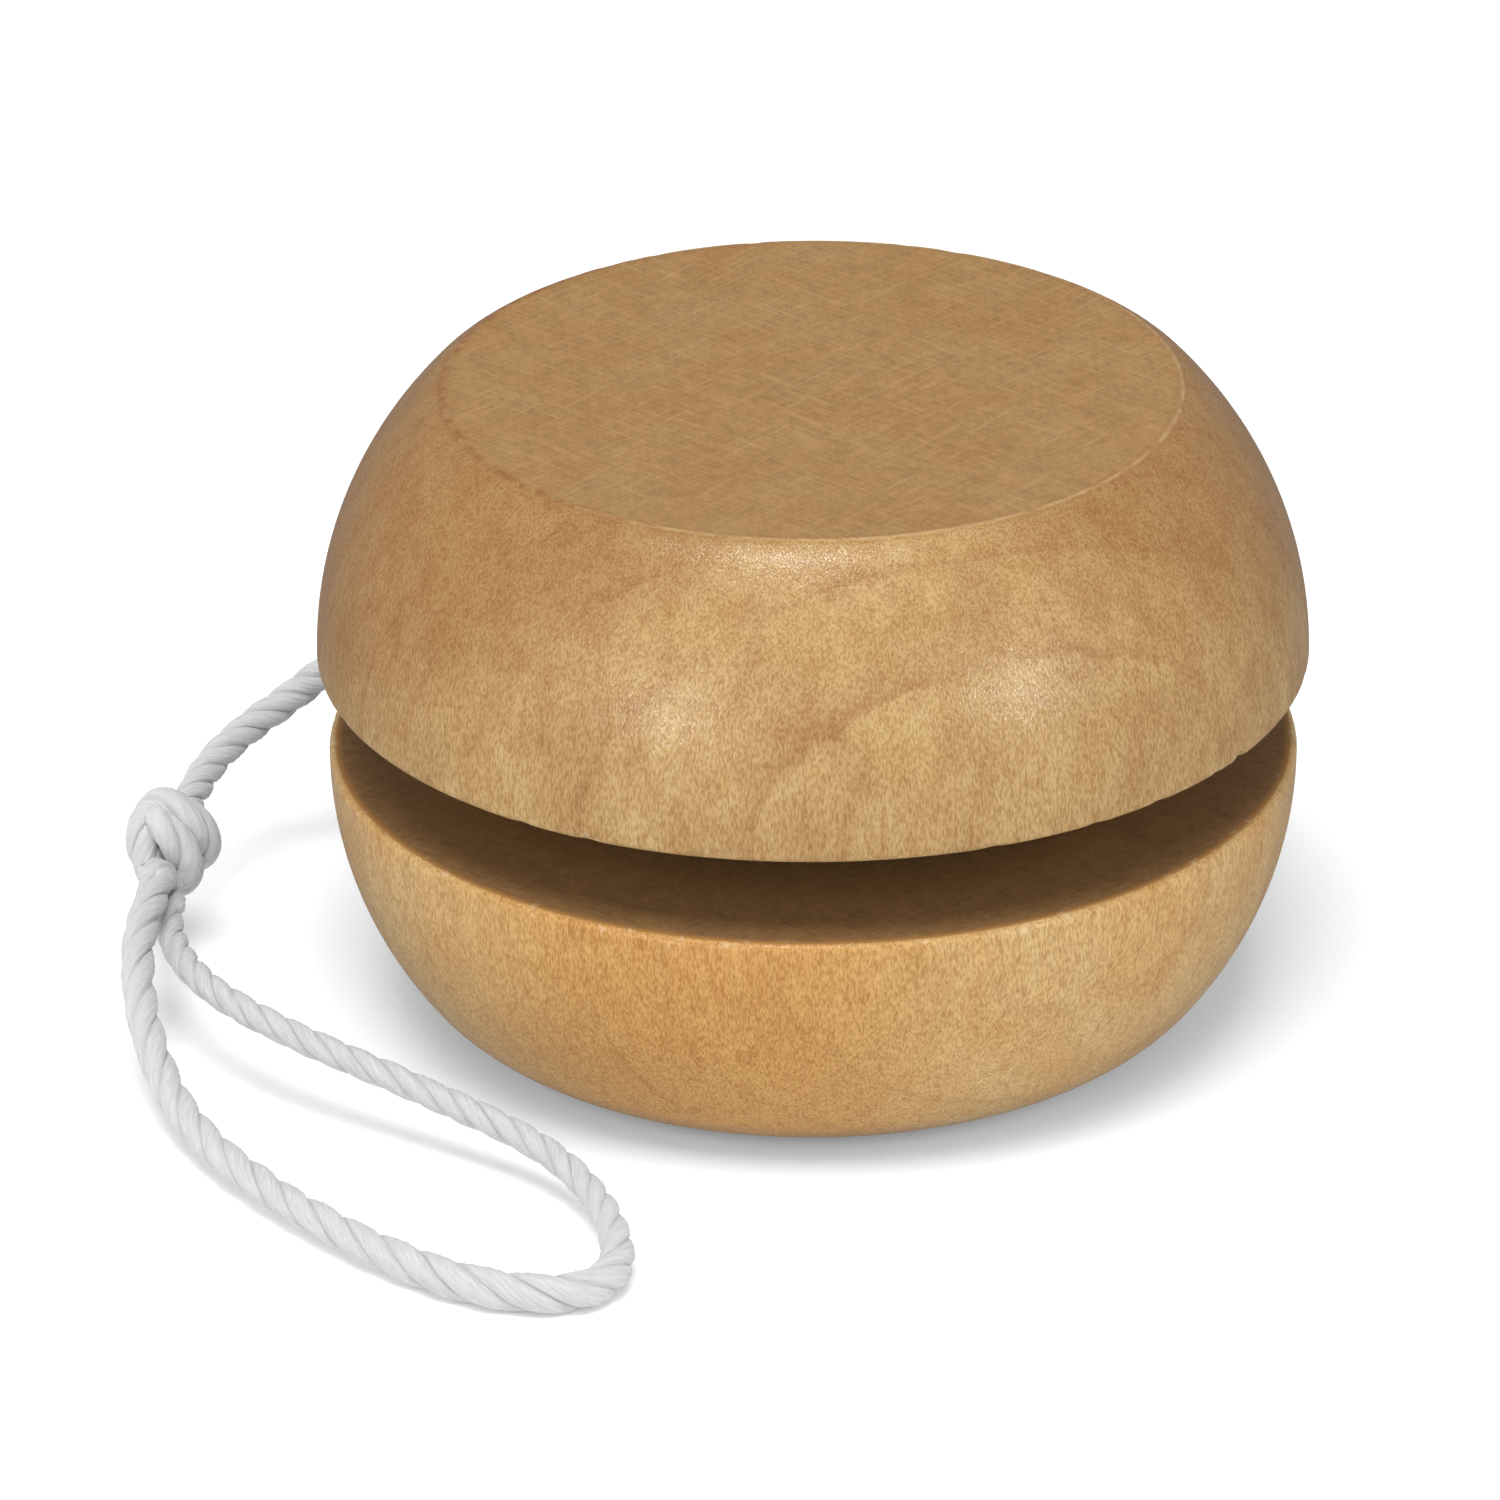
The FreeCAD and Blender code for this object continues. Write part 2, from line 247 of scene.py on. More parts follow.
class Nodes:
    """Builds a material's node tree in short calls."""

    def __init__(self, name):
        self.material = bpy.data.materials.new(name)
        self.material.use_nodes = True
        self.tree = self.material.node_tree
        self.tree.nodes.clear()

    def add(self, kind, settings=None, **inputs):
        node = self.tree.nodes.new("ShaderNode" + kind)
        for key, value in (settings or {}).items():
            setattr(node, key, value)
        for key, value in inputs.items():
            self.plug(node.inputs[key.replace("_", " ")], value)
        return node

    def plug(self, socket, value):
        if isinstance(value, bpy.types.NodeSocket):
            self.tree.links.new(value, socket)
        else:
            socket.default_value = value

    def math(self, operation, first, second=0.0):
        node = self.add("Math", {"operation": operation})
        self.plug(node.inputs[0], first)
        self.plug(node.inputs[1], second)
        return node.outputs[0]

    def stretch(self, vector, scale, offset=(0, 0, 0), turn=(0, 0, 0)):
        node = self.add("Mapping", Vector=vector)
        node.inputs["Scale"].default_value = scale
        node.inputs["Location"].default_value = offset
        node.inputs["Rotation"].default_value = turn
        return node.outputs[0]

    def noise(self, vector, scale, detail=2.0, roughness=0.5, distortion=0.0):
        node = self.add("TexNoise", Vector=vector, Scale=scale, Detail=detail)
        node.inputs["Roughness"].default_value = roughness
        node.inputs["Distortion"].default_value = distortion
        return node.outputs["Fac"]

    def ramp(self, value, *stops):
        """A colour ramp. Each stop is a position and a grey value or a colour."""
        node = self.add("ValToRGB", Fac=value)
        elements = node.color_ramp.elements
        while len(elements) < len(stops):
            elements.new(0.5)
        for element, (position, colour) in zip(elements, stops):
            element.position = position
            grey = isinstance(colour, (int, float))
            element.color = (colour, colour, colour, 1) if grey else (*colour, 1)
        return node.outputs["Color"]

    def mix(self, share, first, second, blend="MIX"):
        node = self.add("Mix", {"data_type": "RGBA", "blend_type": blend})
        self.plug(node.inputs["Factor"], share)
        for socket, value in ((node.inputs[6], first), (node.inputs[7], second)):
            self.plug(socket, (*value, 1) if isinstance(value, tuple) else value)
        return node.outputs[2]

    def bump(self, height, distance, strength=1.0, normal=None):
        node = self.add("Bump", Height=height, Distance=distance, Strength=strength)
        if normal is not None:
            self.plug(node.inputs["Normal"], normal)
        return node.outputs["Normal"]

    def length(self, vector):
        node = self.add("VectorMath", {"operation": "LENGTH"})
        self.plug(node.inputs[0], vector)
        return node.outputs["Value"]

    def part(self, vector, axis):
        return self.add("SeparateXYZ", Vector=vector).outputs[axis]

    def span(self, value, low, high):
        """Rises smoothly from 0 at low to 1 at high."""
        node = self.add("MapRange", {"interpolation_type": "SMOOTHSTEP"}, Value=value)
        node.inputs["From Min"].default_value = low
        node.inputs["From Max"].default_value = high
        return node.outputs[0]

    def mask(self, name):
        return self.add("Attribute", {"attribute_name": name}).outputs["Fac"]

    def scaled(self, value, factor):
        return self.math("MULTIPLY", value, factor)

    def less(self, value, amount):
        return self.math("SUBTRACT", value, amount)

    def rest_of(self, share):
        """What is left of 1 after a share."""
        return self.math("SUBTRACT", 1.0, share)

    def finish(self, shader):
        output = self.add("OutputMaterial")
        self.plug(output.inputs["Surface"], shader.outputs[0])
        return self.material


def millimetres(nodes):
    """The object's own coordinates, in millimetres."""
    coordinates = nodes.add("TexCoord").outputs["Object"]
    return nodes.stretch(coordinates, (1 / MM, 1 / MM, 1 / MM))


# ================================================================ materials


def growth_rings(nodes, place, wood):
    """How dark the late wood is, from 0 to 1. Rings are cylinders round an upright pith line."""
    seed = wood.seed
    slow = nodes.noise(nodes.stretch(place, (1, 1, 0.5), (seed, 0, 0)), scale=0.07, detail=1.0)
    quick = nodes.noise(nodes.stretch(place, (1, 1, 0.4), (0, 0, seed)), scale=0.55, detail=2.0)
    from_pith = nodes.stretch(place, (1, 1, 0), (-wood.pith[0], -wood.pith[1], 0))
    wander = nodes.scaled(nodes.less(slow, 0.5), 2.0)
    shiver = nodes.scaled(nodes.less(quick, 0.5), 0.5)
    bent = nodes.math("ADD", nodes.length(from_pith), nodes.math("ADD", wander, shiver))
    ring = nodes.math("DIVIDE", nodes.less(bent, wood.ring_start), RING_SPACING)
    # pale early wood, then a darkening to a thin dark line that ends each ring
    stops = ((0.0, 0.1), (0.04, 0.0), (0.5, 0.05), (0.88, 0.30), (0.96, 0.95), (1.0, 0.5))
    late = nodes.ramp(nodes.math("FRACT", ring), *stops)
    patches = nodes.noise(nodes.stretch(place, (1, 1, 0.6), (0, seed, 0)), scale=0.14, detail=1.0)
    return nodes.math("MULTIPLY", late, nodes.ramp(patches, (0.38, 0.3), (0.62, 1.0)))


def grain_flecks(nodes, place):
    """Fine short strokes along the upright grain."""
    fine = nodes.noise(nodes.stretch(place, (1, 1, 0.30)), scale=8.5, detail=1.0, roughness=0.6)
    coarse = nodes.noise(nodes.stretch(place, (1, 1, 0.2)), scale=3.4, detail=2.0, roughness=0.6)
    return nodes.math("ADD", nodes.scaled(fine, 0.8), nodes.scaled(coarse, 0.2))


def sanding_marks(nodes, place):
    """Short strokes across the end grain, in three directions."""
    total = 0.0
    for angle, share in ((38, 0.4), (-42, 0.35), (85, 0.25)):
        turned = nodes.stretch(place, (1, 1, 1), turn=(0, 0, math.radians(angle)))
        drawn_out = nodes.stretch(turned, (0.16, 1.0, 1.0))
        stroke = nodes.noise(drawn_out, scale=4.5, detail=3.0, roughness=0.65)
        total = nodes.math("ADD", total, nodes.scaled(stroke, share))
    return total


def scratches(nodes, place):
    """Thin pale lines that cross on the flat."""
    total = 0.0
    for angle in (46, -52):
        turned = nodes.stretch(place, (1, 1, 1), turn=(0, 0, math.radians(angle)))
        stroke = nodes.noise(nodes.stretch(turned, (0.05, 1.0, 1.0)), scale=3.6, detail=1.0)
        total = nodes.math("MAXIMUM", total, nodes.ramp(stroke, (0.62, 0.0), (0.70, 1.0)))
    return total


def side_colours(nodes, place, ring, fleck, tone_and_shade, wood):
    """The lacquered outside: pale and warm wood, painted shade and light from the tone, redder patches,
    growth rings, and flecks that are partly painted sparkle.
    """
    seed = wood.seed
    cloud = nodes.noise(nodes.stretch(place, (1, 1, 0.7), (0, 0, seed)), scale=0.20, detail=2.0)
    cloud = nodes.ramp(cloud, (0.36, 0.0), (0.66, 1.0))
    patch_place = nodes.stretch(place, (1, 1, 0.55), (seed, 0, seed))
    patch = nodes.noise(patch_place, scale=0.55, detail=4.0, roughness=0.65)
    patch = nodes.ramp(patch, (0.42, 0.0), (0.68, 1.0))
    streak_place = nodes.stretch(place, (1, 1, 0.30), (0, seed, seed))
    streak = nodes.noise(streak_place, scale=1.5, detail=3.0, roughness=0.65)
    streak = nodes.scaled(nodes.ramp(streak, (0.50, 0.0), (0.66, 1.0)), 0.55)
    # the wood's warm clouds together with the tone's painted shade
    warmth_and_shade = nodes.math("MAXIMUM", nodes.scaled(cloud, 0.45), tone_and_shade)
    redder = nodes.math("MAXIMUM", nodes.scaled(patch, wood.patchiness), streak)
    colour = nodes.mix(warmth_and_shade, wood.pale, wood.warm)
    colour = nodes.mix(redder, colour, PATCH_TINT, "MULTIPLY")
    colour = nodes.mix(ring, colour, RING_AND_SHADOW_BROWN)
    # the pale flecks are partly the grain's light strokes and partly painted sparkle of the lacquer
    darker, plain, lighter_and_sparkle = (0.86, 0.78, 0.68), (1.0, 1.0, 1.0), (1.20, 1.25, 1.36)
    shade = nodes.ramp(fleck, (0.37, darker), (0.48, plain), (0.60, lighter_and_sparkle))
    return nodes.mix(1.0, colour, shade, "MULTIPLY")


def flat_colours(nodes, place, ring, marks, seed):
    """The sanded end grain: plain and darker than the sides, partly painted shade, with reddish patches and
    crossing scratches.
    """
    patch = nodes.noise(nodes.stretch(place, (1, 1, 1), (seed, 0, 0)), scale=0.16, detail=3.0, roughness=0.6)
    colour = nodes.mix(nodes.ramp(patch, (0.40, 0.0), (0.66, 1.0)), FLAT_PALE, FLAT_WARM)
    colour = nodes.mix(nodes.scaled(ring, 0.10), colour, RING_AND_SHADOW_BROWN)
    shade = nodes.ramp(marks, (0.38, 0.80), (0.50, 1.0), (0.62, 1.20))
    colour = nodes.mix(1.0, colour, shade, "MULTIPLY")
    return nodes.mix(nodes.scaled(scratches(nodes, place), 0.2), colour, BARE_EDGE)


def inner_colours(nodes, out, marks, radius):
    """The inner face: deep brown painted shade of the gap, painted lighter deep in where the gap's own shade
    is deeper, with a warm edge.
    """
    colour = nodes.mix(nodes.span(out, radius - 8, radius - 1), SHADED_INNER_DEEP, SHADED_INNER_RIM)
    colour = nodes.mix(1.0, colour, nodes.ramp(marks, (0.36, 0.75), (0.64, 1.3)), "MULTIPLY")
    return nodes.mix(nodes.span(out, radius - 0.8, radius - 0.4), colour, INNER_EDGE)


def from_circle(nodes, place, out, radius, height):
    """How far a point is from an upright turned edge, in millimetres."""
    up = nodes.math("ABSOLUTE", nodes.less(nodes.part(place, "Z"), height))
    across = nodes.math("ABSOLUTE", nodes.less(out, radius))
    return nodes.math("ADD", across, up)


def edge_wear(nodes, place, colour, away):
    """The flat's edge is rubbed bare in a thin broken line, with a faint painted shadow line just past it
    and dark nicks towards -X.
    """
    broken = nodes.ramp(nodes.noise(place, scale=0.8, detail=3.0), (0.40, 0.2), (0.60, 1.0))
    left = nodes.span(nodes.part(place, "X"), -9, -14)
    bare = nodes.math("MULTIPLY", nodes.rest_of(nodes.span(away, 0.04, 0.20)), broken)
    bare = nodes.math("MULTIPLY", bare, nodes.rest_of(nodes.scaled(left, 0.8)))
    colour = nodes.mix(nodes.scaled(bare, 0.6), colour, BARE_EDGE)
    # painted shadow: a faint broken dark line 0.34 mm from the flat's edge
    beside = nodes.math("ABSOLUTE", nodes.less(away, 0.34))
    shadow_line = nodes.math("MULTIPLY", nodes.rest_of(nodes.span(beside, 0, 0.18)), broken)
    colour = nodes.mix(nodes.scaled(shadow_line, 0.3), colour, RING_AND_SHADOW_BROWN)
    nick = nodes.ramp(nodes.noise(place, scale=1.0, detail=4.0, roughness=0.7), (0.46, 0.0), (0.58, 1.0))
    nick = nodes.math("MULTIPLY", nick, nodes.rest_of(nodes.span(away, 0.10, 0.42)))
    return nodes.mix(nodes.math("MULTIPLY", nick, left), colour, RING_AND_SHADOW_BROWN)


def rim_specks(nodes, place, colour, away):
    """Small pale specks where the lacquer has lifted along the rim."""
    speck = nodes.ramp(nodes.noise(place, scale=1.1, detail=3.0), (0.62, 0.0), (0.68, 0.3))
    by_rim = nodes.rest_of(nodes.span(away, 0.2, 1.0))
    return nodes.mix(nodes.math("MULTIPLY", speck, by_rim), colour, LIFTED_LACQUER)


def wood_material(name, wood, section):
    """Lacquered hardwood: rings and flecks on the sides, sanded end grain on the flat."""
    nodes = Nodes(name)
    place = millimetres(nodes)
    radius = section.radius / MM
    flat = nodes.mask("flat")
    inner = nodes.mask("inner")
    ring = nodes.scaled(growth_rings(nodes, place, wood), wood.ring_strength)
    fleck = grain_flecks(nodes, place)
    marks = sanding_marks(nodes, place)
    out = nodes.length(nodes.stretch(place, (1, 1, 0)))

    # painted shade: from in front, the upper half darkens outwards and upwards; the lower is warmest in the
    # middle, its own colour, and paler to the sides, which is painted light
    aside = nodes.math("ABSOLUTE", nodes.less(nodes.part(place, "X"), wood.tone_middle))
    rise = nodes.scaled(nodes.part(place, "Z"), wood.tone_rise)
    tone_and_shade = nodes.scaled(nodes.span(nodes.math("ADD", aside, rise), *wood.tone_span), 0.85)

    colour = side_colours(nodes, place, ring, fleck, tone_and_shade, wood)
    colour = nodes.mix(flat, colour, flat_colours(nodes, place, ring, marks, wood.seed))
    colour = nodes.mix(inner, colour, inner_colours(nodes, out, marks, radius))
    from_flat = from_circle(nodes, place, out, section.flat_radius / MM, section.flat_height / MM)
    colour = edge_wear(nodes, place, colour, from_flat)
    from_rim = from_circle(nodes, place, out, radius, section.rim_height / MM)
    colour = rim_specks(nodes, place, colour, from_rim)
    colour = nodes.mix(nodes.add("LightPath").outputs["Is Diffuse Ray"], colour, BOUNCE_GREY)

    pores = nodes.bump(nodes.mix(flat, fleck, marks), 0.03 * MM, 0.5)
    skin = nodes.noise(place, scale=0.9, detail=4.0, roughness=0.75, distortion=0.4)
    peel = nodes.bump(nodes.mix(0.35, skin, fleck), 0.10 * MM, 0.9)
    lacquered = nodes.rest_of(nodes.math("MAXIMUM", nodes.scaled(flat, 0.85), inner))
    shader = nodes.add("BsdfPrincipled", Base_Color=colour, Normal=pores, Roughness=0.55)
    shader.inputs["Specular IOR Level"].default_value = 0.2
    nodes.plug(shader.inputs["Coat Weight"], nodes.scaled(lacquered, 0.6))
    shader.inputs["Coat Roughness"].default_value = 0.16
    shader.inputs["Coat IOR"].default_value = 1.36
    nodes.plug(shader.inputs["Coat Normal"], peel)
    return nodes.finish(shader)


def dowel_material():
    """Plain unfinished dowel, with straight grain along the axle."""
    nodes = Nodes("dowel_wood")
    place = millimetres(nodes)
    grain = nodes.noise(nodes.stretch(place, (1, 1, 0.06)), scale=2.4, detail=4.0, roughness=0.6)
    colour = nodes.ramp(grain, (0.3, (0.36, 0.21, 0.10)), (0.7, (0.62, 0.42, 0.23)))
    normal = nodes.bump(grain, 0.05 * MM, 0.6)
    shader = nodes.add("BsdfPrincipled", Base_Color=colour, Roughness=0.65, Normal=normal)
    return nodes.finish(shader)


def cord_material():
    """White cotton. UV runs round the ply in U and along it, in millimetres, in V."""
    nodes = Nodes("cord")
    place = millimetres(nodes)
    uv = nodes.add("UVMap", {"uv_map": "ply"}).outputs["UV"]
    threads = nodes.noise(nodes.stretch(uv, (22, 0.8, 1)), scale=1.0, detail=3.0, roughness=0.65)
    tufts = nodes.noise(place, scale=2.6, detail=3.0, roughness=0.6)
    soil = nodes.noise(place, scale=0.25, detail=2.0)
    shaded, plain, bright = (0.44, 0.44, 0.45), (0.53, 0.53, 0.535), (0.60, 0.60, 0.60)
    colour = nodes.ramp(threads, (0.30, shaded), (0.55, plain), (0.8, bright))
    # painted shade in the creases between the plies
    colour = nodes.mix(nodes.scaled(nodes.mask("crease"), 0.25), colour, (0.40, 0.40, 0.41))
    colour = nodes.mix(nodes.ramp(soil, (0.5, 0.0), (0.8, 0.3)), colour, (0.56, 0.54, 0.52))
    normal = nodes.bump(tufts, 0.12 * MM, 0.5, nodes.bump(threads, 0.10 * MM, 0.8))
    shader = nodes.add("BsdfPrincipled", Base_Color=colour, Roughness=0.9, Normal=normal)
    shader.inputs["Specular IOR Level"].default_value = 0.1
    shader.inputs["Sheen Weight"].default_value = 0.2
    shader.inputs["Sheen Roughness"].default_value = 0.5
    shader.inputs["Subsurface Weight"].default_value = 0.2
    shader.inputs["Subsurface Radius"].default_value = (1.0, 1.0, 1.0)
    shader.inputs["Subsurface Scale"].default_value = 0.25 * MM
    return nodes.finish(shader)


def floor_material():
    """A white studio table that glows a little, as a lit-through product table does."""
    nodes = Nodes("studio_floor")
    soft = nodes.noise(nodes.add("TexCoord").outputs["Object"], scale=3.0, detail=2.0)
    colour = nodes.mix(soft, (0.90, 0.90, 0.90), (0.92, 0.92, 0.92))
    shader = nodes.add("BsdfPrincipled", Base_Color=colour, Roughness=0.9)
    shader.inputs["Specular IOR Level"].default_value = 0.1
    shader.inputs["Emission Color"].default_value = (1, 1, 1, 1)
    shader.inputs["Emission Strength"].default_value = 0.16
    return nodes.finish(shader)


# ================================================================ the turned halves


def arc(centre, radius, start, end):
    """Points along an arc, from one angle to another, both included."""
    count = max(4, int(abs(end - start) * radius / PROFILE_STEP))
    angles = np.linspace(start, end, count + 1)
    return [centre + radius * np.array([math.cos(a), math.sin(a)]) for a in angles]


def line(start, end):
    count = max(1, int(np.linalg.norm(end - start) / PROFILE_STEP))
    return [lerp(start, end, share) for share in np.linspace(0, 1, count + 1)]


def half_profile(section):
    """The turned section as (radius, height above the inner face) points, with a zone for each."""
    radius, flat_radius, shoulder_radius, belly_radius = section[:4]
    belly_centre = np.array([radius - belly_radius, RIM_ROUND])
    flat_edge = np.array([flat_radius, HALF_THICKNESS])
    reach = flat_edge - belly_centre
    # the shoulder's circle touches the belly's circle from inside and passes the flat's edge
    inner_arm = belly_radius - shoulder_radius
    span = np.linalg.norm(reach)
    cosine = (inner_arm**2 + span**2 - shoulder_radius**2) / (2 * inner_arm * span)
    turn = math.atan2(reach[1], reach[0]) - math.acos(cosine)
    shoulder_centre = belly_centre + inner_arm * np.array([math.cos(turn), math.sin(turn)])
    edge_arm = flat_edge - shoulder_centre
    edge_angle = math.atan2(edge_arm[1], edge_arm[0])
    rim_centre = np.array([radius - RIM_ROUND, RIM_ROUND])
    bore_floor = HALF_THICKNESS - BORE_END
    bore_end = np.array([AXLE_RADIUS, bore_floor])

    zones = (
        ("bore", line(np.array([0, bore_floor]), bore_end)),
        ("bore", line(bore_end, np.array([AXLE_RADIUS, 0]))),
        ("inner", line(np.array([AXLE_RADIUS, 0]), np.array([radius - RIM_ROUND, 0]))),
        ("side", arc(rim_centre, RIM_ROUND, -math.pi / 2, 0)),
        ("side", arc(belly_centre, belly_radius, 0, turn)),
        ("side", arc(shoulder_centre, shoulder_radius, turn, edge_angle)),
        ("flat", line(flat_edge, np.array([0, HALF_THICKNESS]))),
    )
    points = []
    for zone, stretch in zones:
        for point in stretch[1 if points else 0:]:
            points.append((point[0], point[1], zone))
    return points


def chips(angles, seed, count, width):
    """How chipped an edge is round the piece, from 0 to 1: a few narrow dents at seeded angles."""
    random = np.random.default_rng(seed)
    total = np.zeros_like(angles)
    for centre, size in zip(random.uniform(0, 2 * math.pi, count), random.uniform(0.3, 1.0, count)):
        apart = np.abs((angles - centre + math.pi) % (2 * math.pi) - math.pi)
        total = np.maximum(total, size * np.exp(-((apart / (width * size)) ** 2)))
    return total


def nearness(across, along):
    """1 on a turned edge, falling to 0 over the width that wears."""
    return math.exp(-((math.hypot(across, along) / WORN_WIDTH) ** 2))


def turned_half(name, material, section, seed):
    """One half, turned about the axle, with worn edges and masks for its flat and inner faces."""
    profile = half_profile(section)
    rings = profile[1:-1]
    upward = section.flat_height > section.rim_height
    base = section.rim_height
    side = 1 if upward else -1
    angles = np.linspace(0, 2 * math.pi, TURNED_SEGMENTS, endpoint=False)
    rim_chips = chips(angles, seed, RIM_CHIPS, RIM_CHIP_WIDTH) * RIM_CHIP_DEPTH
    flat_chips = chips(angles, seed + 1, FLAT_CHIPS, FLAT_CHIP_WIDTH) * FLAT_CHIP_DEPTH
    if upward:
        from_nick = (angles - NICK_ANGLE + math.pi) % (2 * math.pi) - math.pi
        rim_chips = rim_chips + NICK_DEPTH * np.exp(-((from_nick / NICK_WIDTH) ** 2))
    bands = []
    for radius, height, zone in rings:
        near_rim = nearness(radius - section.radius, height)
        near_flat = nearness(radius - section.flat_radius, height - HALF_THICKNESS)
        pulled_in = radius - near_rim * rim_chips - near_flat * flat_chips
        z = base + side * (height + near_rim * rim_chips - near_flat * flat_chips)
        bands.append(np.stack([pulled_in * np.cos(angles), pulled_in * np.sin(angles), z], axis=1))
    vertices = list(np.concatenate(bands))
    poles = [len(vertices), len(vertices) + 1]
    vertices.append((0, 0, base + side * profile[0][1]))
    vertices.append((0, 0, base + side * profile[-1][1]))

    faces = []
    for ring in range(len(rings) - 1):
        for step in range(TURNED_SEGMENTS):
            here = ring * TURNED_SEGMENTS + step
            beside = ring * TURNED_SEGMENTS + (step + 1) % TURNED_SEGMENTS
            faces.append((here, beside, beside + TURNED_SEGMENTS, here + TURNED_SEGMENTS))
    last = (len(rings) - 1) * TURNED_SEGMENTS
    for step in range(TURNED_SEGMENTS):
        beside = (step + 1) % TURNED_SEGMENTS
        faces.append((poles[0], beside, step))
        faces.append((poles[1], last + step, last + beside))
    if not upward:
        faces = [face[::-1] for face in faces]

    piece = new_object(name, vertices, faces, material)
    zones = [zone for _, _, zone in rings]
    add_mask(piece, "flat", [float(zone == "flat") for zone in zones], [0.0, 1.0])
    add_mask(piece, "inner", [float(zone in ("inner", "bore")) for zone in zones], [1.0, 0.0])
    return piece


def add_mask(piece, name, ring_values, pole_values):
    """A value for each ring of the turned mesh, which the material reads by name."""
    values = np.append(np.repeat(ring_values, TURNED_SEGMENTS), pole_values)
    attribute = piece.data.attributes.new(name, "FLOAT", "POINT")
    attribute.data.foreach_set("value", values.astype(np.float32))


# ================================================================ the cord's centre line


class Path:
    """A natural cubic spline through points, measured along the straight lines between them."""

    def __init__(self, points):
        self.points = np.array(points, float)
        steps = np.linalg.norm(np.diff(self.points, axis=0), axis=1)
        self.reach = np.concatenate([[0.0], np.cumsum(steps)])
        count = len(self.points)
        system = np.zeros((count, count))
        right = np.zeros((count, 3))
        system[0, 0] = system[-1, -1] = 1.0
        for i in range(1, count - 1):
            system[i, i - 1 : i + 2] = steps[i - 1], 2 * (steps[i - 1] + steps[i]), steps[i]
            rise_after = (self.points[i + 1] - self.points[i]) / steps[i]
            rise_before = (self.points[i] - self.points[i - 1]) / steps[i - 1]
            right[i] = 6 * (rise_after - rise_before)
        self.bend = np.linalg.solve(system, right)
        self.steps = steps

    def at(self, positions):
        positions = np.atleast_1d(positions)
        i = np.clip(np.searchsorted(self.reach, positions) - 1, 0, len(self.steps) - 1)
        step = self.steps[i][:, None]
        ahead = (self.reach[i + 1] - positions)[:, None]
        behind = (positions - self.reach[i])[:, None]
        bend, points = self.bend, self.points
        curved = bend[i] * ahead**3 + bend[i + 1] * behind**3
        first = (points[i] / step - bend[i] * step / 6) * ahead
        second = (points[i + 1] / step - bend[i + 1] * step / 6) * behind
        return curved / (6 * step) + first + second


class Strand:
    """A run of twisted cord: evenly spaced centre points, with a frame and a twist at each."""

    def __init__(self, path, pitch, radius):
        self.reach = np.arange(path.reach[0], path.reach[-1], STEP)
        self.centre = path.at(self.reach)
        tangent = np.gradient(self.centre, axis=0)
        self.tangent = tangent / np.linalg.norm(tangent, axis=1)[:, None]
        self.radius = radius(self.reach)
        length = np.concatenate([[0], np.cumsum(np.linalg.norm(np.diff(self.centre, axis=0), axis=1))])
        self.length = length
        local_pitch = pitch(self.reach) * (1 + PITCH_WOBBLE * ripple(length, PITCH_SEED, PLY_WAVES))
        turns = np.gradient(length) / local_pitch
        self.twist = 2 * math.pi * (np.cumsum(turns) - turns[0])
        self.side = self.carried_side()
        self.lift = np.cross(self.tangent, self.side)

    def carried_side(self):
        """A sideways direction carried along the cord without turning about it."""
        sides = [unit(np.cross((0, 0, 1), self.tangent[0]))]
        for tangent in self.tangent[1:]:
            previous = sides[-1]
            sides.append(unit(previous - tangent * (previous @ tangent)))
        return np.array(sides)


def rounding(from_end):
    """How full a rounded end is, from 0 at its tip to 1."""
    share = min(1.0, from_end / (0.8 * CORD_RADIUS))
    return math.sqrt(1 - (1 - share) ** 2)


def thread_ridges(angles, length, threads, phase=0.0):
    """Low ridges that wind along a ply. A negative turn length winds the other way."""
    height, count, turn_length = threads
    return height * np.cos(count * angles + 2 * math.pi * length / turn_length + phase)


def ply_ring(strand, i, ply, angles, flatten):
    """The outline of one ply at a sample, in shares of the cord's radius, outwards and sideways."""
    length = strand.length[i]
    wobble = 1 + PLY_WOBBLE * float(ripple(length, ply, PLY_WAVES))
    height, count, turn_length = FINE_THREADS
    threads = 1 + thread_ridges(angles, length, COARSE_THREADS)
    threads += thread_ridges(angles, length, (height, count, -turn_length), ply)
    outward = PLY_OFFSET + PLY_HALF_THICKNESS * wobble * threads * np.cos(angles)
    sideways = PLY_HALF_WIDTH * flatten * threads * np.sin(angles)
    return outward, sideways


